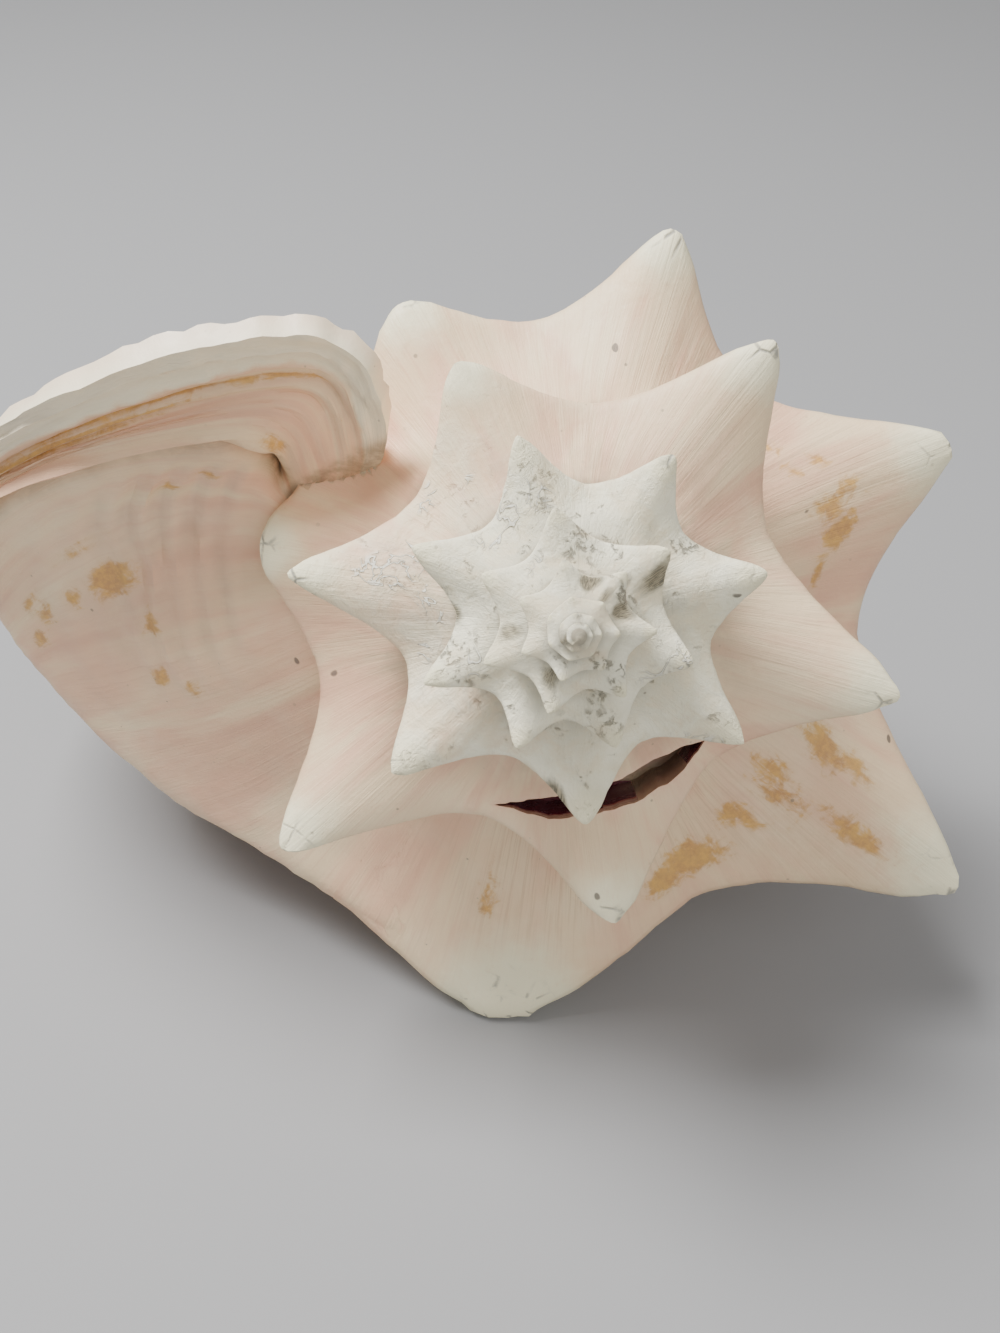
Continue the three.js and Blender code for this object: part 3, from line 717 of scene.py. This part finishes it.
class Graph:
    """Adds shader nodes to one material and joins them."""

    def __init__(self, name):
        self.material = bpy.data.materials.new(name)
        self.material.use_nodes = True
        self.tree = self.material.node_tree
        self.shader = self.tree.nodes["Principled BSDF"]

    def feed(self, socket, value):
        if isinstance(value, bpy.types.NodeSocket):
            self.tree.links.new(value, socket)
        else:
            socket.default_value = value

    def node(self, kind, inputs, **settings):
        made = self.tree.nodes.new(kind)
        for key, value in settings.items():
            setattr(made, key, value)
        for key, value in inputs.items():
            self.feed(made.inputs[key], value)
        return made

    def attribute(self, name, output="Fac"):
        return self.node("ShaderNodeAttribute", {}, attribute_name=name).outputs[output]

    def scaled(self, vector, factors):
        made = self.node("ShaderNodeVectorMath", {0: vector, 1: factors}, operation="MULTIPLY")
        return made.outputs[0]

    def pushed(self, vector, factor, amount):
        """Vector pushed sideways by a noise value."""
        shift = self.node("ShaderNodeVectorMath", {0: (amount, amount, -amount)}, operation="SCALE")
        self.feed(shift.inputs["Scale"], factor)
        made = self.node("ShaderNodeVectorMath", {0: vector, 1: shift.outputs[0]}, operation="ADD")
        return made.outputs[0]

    def noise(self, vector, scale, detail=3.0, rough=0.5, twist=0.0):
        inputs = {"Vector": vector, "Scale": scale, "Detail": detail, "Roughness": rough}
        inputs["Distortion"] = twist
        return self.node("ShaderNodeTexNoise", inputs).outputs["Fac"]

    def cells(self, vector, scale):
        return self.node("ShaderNodeTexVoronoi", {"Vector": vector, "Scale": scale})

    def fit(self, value, low, high, a=0.0, b=1.0):
        inputs = {"Value": value, "From Min": low, "From Max": high, "To Min": a, "To Max": b}
        return self.node("ShaderNodeMapRange", inputs, interpolation_type="SMOOTHSTEP").outputs[0]

    def math(self, operation, a, b=0.0, clamp=False):
        made = self.node("ShaderNodeMath", {0: a, 1: b}, operation=operation, use_clamp=clamp)
        return made.outputs[0]

    def mix(self, factor, a, b):
        """Colour between a and b; a colour Mix node has its A, B and result at 6, 7 and 2."""
        made = self.node("ShaderNodeMix", {"Factor": factor}, data_type="RGBA")
        self.feed(made.inputs[6], a)
        self.feed(made.inputs[7], b)
        return made.outputs[2]


def patterns(g):
    """The masks of the mesh and the noises that several layers share."""
    p = SimpleNamespace()
    for name in MASKS:
        setattr(p, name, g.attribute(name))
    p.flow = g.attribute("flow", "Vector")
    p.space = g.node("ShaderNodeTexCoord", {}).outputs["Object"]
    # growth lines run across the whorls, so their pattern is stretched along them
    p.wide = g.noise(g.scaled(p.flow, (5.0, 5.0, 1.6)), 1.0, 3.0, 0.55, 0.6)
    p.lines = g.noise(g.scaled(p.flow, (46.0, 46.0, 3.0)), 1.0, 4.0, 0.6, 0.4)
    p.hair = g.noise(g.scaled(p.flow, (150.0, 150.0, 5.0)), 1.0, 3.0, 0.6, 0.2)
    p.cloud = g.noise(p.space, 26.0, 4.0, 0.6, 0.3)
    p.grain = g.noise(p.space, 900.0, 4.0, 0.65)
    p.medium = g.noise(p.space, 170.0, 5.0, 0.6, 0.4)
    return p


def body_colour(g, p):
    """Ivory, peach and rose of the whorls, with growth lines across them, and painted shade in the
    recesses.
    """
    ivory, peach, rose = (0.88, 0.67, 0.42, 1), (0.84, 0.53, 0.34, 1), (0.74, 0.42, 0.28, 1)
    blush = g.math("SUBTRACT", p.wide, g.math("MULTIPLY", p.tip, 0.22))
    base = g.mix(g.fit(blush, 0.34, 0.6), ivory, peach)
    base = g.mix(g.fit(blush, 0.5, 0.7, 0.0, 0.6), base, rose)
    base = g.mix(g.fit(p.cloud, 0.45, 0.72, 0.0, 0.55), base, (0.91, 0.77, 0.53, 1))
    base = g.mix(g.fit(p.lines, 0.5, 0.72, 0.0, 0.26), base, rose)
    base = g.mix(g.fit(p.hair, 0.5, 0.8, 0.0, 0.1), base, (0.60, 0.44, 0.33, 1))

    combed = g.math("MULTIPLY", p.striae, g.fit(p.hair, 0.48, 0.62))
    base = g.mix(g.math("MULTIPLY", combed, 0.55), base, (0.50, 0.30, 0.16, 1))

    # painted shade in the recesses below the sutures and in the lip's grooves
    recess_shade_amount = g.math("MULTIPLY", p.recess, g.fit(p.medium, 0.3, 0.62, 0.2, 0.6))
    base = g.mix(recess_shade_amount, base, (0.42, 0.32, 0.23, 1))
    return base


def limy_spire(g, p, base):
    """The worn, limy spire."""
    lime = g.mix(g.fit(p.medium, 0.35, 0.65), (0.87, 0.80, 0.58, 1), (0.96, 0.92, 0.72, 1))
    lime = g.mix(g.fit(p.cloud, 0.5, 0.75, 0.0, 0.5), lime, (0.82, 0.75, 0.53, 1))
    pits = g.fit(g.noise(p.space, 700.0, 5.0, 0.7, 0.6), 0.5, 0.62)
    patches = g.fit(g.noise(p.space, 120.0, 3.0, 0.6, 0.8), 0.55, 0.64)
    p.soot = g.math("MULTIPLY", pits, patches)
    lime = g.mix(g.math("MULTIPLY", p.soot, 0.75), lime, (0.20, 0.17, 0.13, 1))
    # painted shade in the recesses of the spire
    shade = g.math("MULTIPLY", p.recess, g.fit(p.medium, 0.3, 0.6, 0.25, 0.7))
    lime = g.mix(shade, lime, (0.46, 0.43, 0.33, 1))
    p.limy = g.math("ADD", p.chalk, g.math("MULTIPLY", g.math("SUBTRACT", p.medium, 0.5), 1.2), True)
    p.limy = g.math("MULTIPLY", p.limy, g.fit(p.chalk, 0.0, 0.3), True)
    base = g.mix(p.limy, base, lime)
    return base


def bleached_tips(g, p, base):
    """Bleached, faintly green tips with grey hairline cracks."""
    bleached = g.fit(g.math("ADD", p.tip, g.math("MULTIPLY", p.medium, 0.3)), 0.68, 1.02)
    base = g.mix(bleached, base, (0.93, 0.86, 0.60, 1))
    web = g.node(
        "ShaderNodeTexVoronoi", {"Vector": p.space, "Scale": 210.0}, feature="DISTANCE_TO_EDGE"
    ).outputs["Distance"]
    p.crack = g.math("MULTIPLY", g.fit(web, 0.0, 0.08, 1.0, 0.0), g.fit(p.tip, 0.78, 0.95, 0.0, 0.9))
    p.crack = g.math("MULTIPLY", p.crack, g.fit(p.medium, 0.45, 0.6))
    base = g.mix(p.crack, base, (0.30, 0.29, 0.25, 1))
    return base


def brown_skin(g, p, base):
    """Brown streaks left of the old skin."""
    streak = g.noise(g.scaled(p.flow, (30.0, 30.0, 14.0)), 1.0, 5.0, 0.6, 1.2)
    blotch = g.noise(p.space, 270.0, 6.0, 0.66, 1.1)
    uneven = g.math("ADD", g.math("MULTIPLY", streak, 0.9), g.math("MULTIPLY", blotch, 1.5))
    marked = g.math("ADD", p.stain, g.math("SUBTRACT", uneven, 1.2))
    brown = g.fit(marked, 0.42, 0.95, 0.0, 0.95)
    rust = g.mix(g.fit(p.grain, 0.35, 0.7), (0.42, 0.16, 0.004, 1), (0.66, 0.31, 0.006, 1))
    rust = g.mix(g.fit(p.medium, 0.4, 0.7, 0.0, 0.55), rust, (0.78, 0.44, 0.02, 1))
    base = g.mix(brown, base, rust)
    tint = g.fit(marked, 0.1, 0.5, 0.0, 0.3)
    base = g.mix(tint, base, (0.78, 0.56, 0.34, 1))
    return base


def torn_rim(g, p, base):
    """White broken rim."""
    torn = g.math("ADD", p.rim, g.math("MULTIPLY", g.math("SUBTRACT", p.medium, 0.5), 0.9), True)
    base = g.mix(g.fit(torn, 0.45, 0.8, 0.0, 0.85), base, (0.91, 0.83, 0.62, 1))
    return base


def scars(g, p, base):
    """Limy worm tubes and scars, and ribbed patches worn through near the apex."""
    squiggle = g.math("ABSOLUTE", g.math("SUBTRACT", g.noise(p.space, 180.0, 2.0, 0.5, 1.6), 0.5))
    p.tube = g.math("MULTIPLY", g.fit(squiggle, 0.012, 0.03, 1.0, 0.0), g.fit(p.crust, 0.45, 0.85))
    rind = g.math("MULTIPLY", g.fit(squiggle, 0.03, 0.06, 1.0, 0.0), g.fit(p.crust, 0.45, 0.85))
    base = g.mix(g.math("MULTIPLY", rind, 0.5), base, (0.36, 0.31, 0.23, 1))
    base = g.mix(g.math("MULTIPLY", p.tube, 0.85), base, (0.90, 0.88, 0.76, 1))
    p.ribs = g.noise(g.scaled(p.flow, (110.0, 110.0, 9.0)), 1.0, 1.0, 0.5, 0.2)
    p.bared = g.math("ADD", p.worn, g.math("MULTIPLY", g.math("SUBTRACT", p.medium, 0.5), 1.3))
    p.bared = g.fit(p.bared, 0.42, 0.95)
    fluted = g.mix(g.fit(p.ribs, 0.42, 0.58), (0.07, 0.055, 0.03, 1), (0.36, 0.30, 0.19, 1))
    base = g.mix(g.math("MULTIPLY", p.bared, 0.85), base, fluted)
    return base


def dirt_shade_and_specks(g, p, base):
    """Dirt and painted shade in the seams, and small dark specks."""
    # dirt and painted shade along the sutures, the lip's crease and its pit
    seam_dirt_and_shade = g.math("MULTIPLY", p.dirt, g.fit(p.medium, 0.3, 0.6, 0.35, 1.0))
    base = g.mix(g.fit(seam_dirt_and_shade, 0.1, 0.95, 0.0, 0.75), base, (0.27, 0.20, 0.13, 1))
    spots = g.cells(g.pushed(p.space, g.noise(p.space, 60.0), 0.012), 110.0)
    chosen = g.node("ShaderNodeSeparateColor", {"Color": spots.outputs["Color"]}).outputs[0]
    edge = g.math("ADD", spots.outputs["Distance"], g.math("MULTIPLY", chosen, 0.42))
    speck = g.fit(edge, 0.08, 0.11, 1.0, 0.0)
    base = g.mix(g.math("MULTIPLY", speck, 0.8), base, (0.10, 0.085, 0.075, 1))
    dust = g.cells(p.space, 430.0)
    chosen = g.node("ShaderNodeSeparateColor", {"Color": dust.outputs["Color"]}).outputs[1]
    edge = g.math("ADD", dust.outputs["Distance"], g.math("MULTIPLY", chosen, 1.1))
    pepper = g.math("MULTIPLY", g.fit(edge, 0.12, 0.2, 1.0, 0.0), g.fit(p.cloud, 0.4, 0.6, 0.15, 0.7))
    base = g.mix(pepper, base, (0.24, 0.20, 0.15, 1))
    return base


def pink_lining(g, p, base):
    """Glossy pink inside, turning maroon deepest in as painted shade."""
    pink = g.mix(g.fit(p.wide, 0.35, 0.7), (0.58, 0.17, 0.14, 1), (0.42, 0.08, 0.09, 1))
    pale = g.mix(g.fit(p.cloud, 0.35, 0.65), (0.84, 0.58, 0.43, 1), (0.80, 0.46, 0.34, 1))
    lining = g.mix(g.fit(p.inside, 0.7, 0.96), pale, pink)
    # painted shade: the lining turns maroon deepest inside and at the foot of the slit's wall
    lining = g.mix(g.fit(p.inside, 0.95, 1.0), lining, (0.20, 0.03, 0.045, 1))
    p.lined = g.fit(p.inside, 0.05, 0.6)
    p.lined = g.math("MULTIPLY", p.lined, g.fit(p.rim, 0.3, 1.0, 1.0, 0.25))
    base = g.mix(p.lined, base, lining)
    return base


def set_shine(g, p):
    """Roughness: chalky on the limy spire, glossy on the lining."""
    shine = g.fit(p.medium, 0.3, 0.7, 0.42, 0.6)
    shine = g.math("ADD", shine, g.math("MULTIPLY", p.limy, 0.35))
    shine = g.math("ADD", shine, g.math("MULTIPLY", p.lined, -0.24), True)
    g.feed(g.shader.inputs["Roughness"], shine)


def fine_relief(g, p):
    """Growth lines, grain, lime crust and pits as a bump."""
    plain = g.math("SUBTRACT", 1.0, p.lined, True)
    height = g.math("MULTIPLY", p.lines, 0.32)
    height = g.math("ADD", height, g.math("MULTIPLY", p.hair, 0.18))
    height = g.math("ADD", height, g.math("MULTIPLY", p.medium, 0.35))
    height = g.math("MULTIPLY", height, plain)
    grit = g.math("MULTIPLY", g.noise(p.space, 330.0, 6.0, 0.7, 0.5), g.fit(p.limy, 0.0, 1.0, 0.15, 1.5))
    height = g.math("ADD", height, grit)
    height = g.math("SUBTRACT", height, g.math("MULTIPLY", p.soot, g.math("MULTIPLY", p.limy, 0.8)))
    height = g.math("SUBTRACT", height, g.math("MULTIPLY", p.crack, 0.5))
    height = g.math("ADD", height, g.math("MULTIPLY", p.tube, 0.7))
    height = g.math("ADD", height, g.math("MULTIPLY", g.math("MULTIPLY", p.bared, p.ribs), 0.6))
    height = g.math("ADD", height, g.math("MULTIPLY", p.grain, 0.12))
    relief = g.node("ShaderNodeBump", {"Height": height, "Strength": 0.8, "Distance": 0.0006})
    g.feed(g.shader.inputs["Normal"], relief.outputs[0])


def shell_material():
    g = Graph("conch")
    p = patterns(g)
    base = body_colour(g, p)
    for layer in (
        limy_spire, bleached_tips, brown_skin, torn_rim, scars, dirt_shade_and_specks, pink_lining,
    ):
        base = layer(g, p, base)
    g.feed(g.shader.inputs["Base Color"], base)
    set_shine(g, p)
    fine_relief(g, p)
    return g.material


shell, hollow_points, hollow_whorls = build_shell()
add_relief(shell, hollow_points, hollow_whorls)
place = (
    Matrix.Translation(Vector(APEX) * MM)
    @ Matrix.Rotation(math.radians(ROLL), 4, "Y")
    @ Matrix.Rotation(math.radians(TILT), 4, "X")
    @ Matrix.Scale(MM, 4)
)
shell.data.transform(place)
for v in shell.data.vertices:
    v.co.z = max(v.co.z, 0.0)
for p in shell.data.polygons:
    p.use_smooth = True
shell.data.set_sharp_from_angle(angle=math.radians(SHARP_ANGLE))
shell.data.materials.clear()
shell.data.materials.append(shell_material())

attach(shell, "root")
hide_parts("shell")

# ---- floor, light and camera ----
corners = [(-1, -1), (1, -1), (1, 1), (-1, 1)]
floor = new_object("floor", [(FLOOR_HALF * x, FLOOR_HALF * y, 0) for x, y in corners], [[0, 1, 2, 3]])
ground = Graph("floor")
ground.feed(ground.shader.inputs["Base Color"], FLOOR_COLOUR)
ground.feed(ground.shader.inputs["Roughness"], FLOOR_ROUGHNESS)
floor.data.materials.append(ground.material)

world = bpy.data.worlds.new("studio")
world.use_nodes = True
world.node_tree.nodes["Background"].inputs["Color"].default_value = (1.0, 1.0, 1.0, 1)
world.node_tree.nodes["Background"].inputs["Strength"].default_value = WORLD_STRENGTH
bpy.context.scene.world = world


def area_light(name, spot, size, power):
    light = bpy.data.lights.new(name, "AREA")
    light.energy = power
    light.size = size
    made = bpy.data.objects.new(name, light)
    bpy.context.collection.objects.link(made)
    made.location = spot
    aim = Vector(LIGHT_TARGET) - made.location
    made.rotation_euler = aim.to_track_quat("-Z", "Y").to_euler()


area_light("key", KEY_SPOT, KEY_SIZE, KEY_POWER)
area_light("fill", FILL_SPOT, FILL_SIZE, FILL_POWER)

camera = bpy.data.cameras.new("camera")
camera.sensor_width = 36
camera.lens = CAMERA_LENS
camera.clip_start = 0.01
view = bpy.data.objects.new("camera", camera)
view.location = CAMERA_SPOT
view.rotation_euler = [math.radians(a) for a in CAMERA_TURN]
bpy.context.collection.objects.link(view)
bpy.context.scene.camera = view
